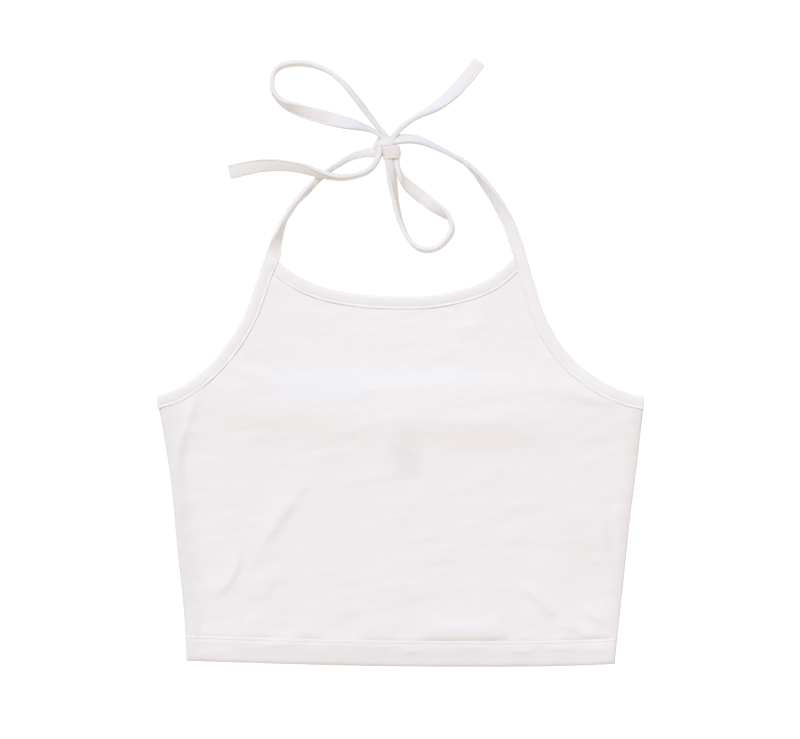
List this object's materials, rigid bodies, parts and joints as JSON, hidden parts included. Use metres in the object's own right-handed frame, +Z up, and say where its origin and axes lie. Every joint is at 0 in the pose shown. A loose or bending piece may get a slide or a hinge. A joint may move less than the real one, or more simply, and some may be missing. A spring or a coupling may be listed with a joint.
{
  "type": "halter-neck crop top",
  "caption": "White jersey halter-neck crop top laid flat, with bound edges, a turned-up hem and its neck ties knotted in a bow.",
  "frame": {"origin": "on the table, under the middle of the box of the garment with its ties", "axes": "+Y from the hem to the neck, +Z up out of the front panel, +X to the right as seen from the front"},
  "size_m": [0.3809, 0.4776, 0.0114],
  "materials": {
    "jersey": "white cotton and elastane single jersey, matt, fine knit",
    "binding": "the same white jersey folded into a narrow strip and stitched along one edge",
    "label": "plain woven label with nothing on it"
  },
  "bodies": {
    "root": {"front_panel": "jersey", "back_panel": "jersey", "back_binding": "binding", "neck_binding": "binding", "armhole_binding_left": "binding", "armhole_binding_right": "binding", "strap_left": "binding", "strap_right": "binding", "loop_upper": "binding", "loop_lower": "binding", "tail_upper": "binding", "tail_left": "binding", "knot": "binding", "label": "label"}
  },
  "joints": []
}
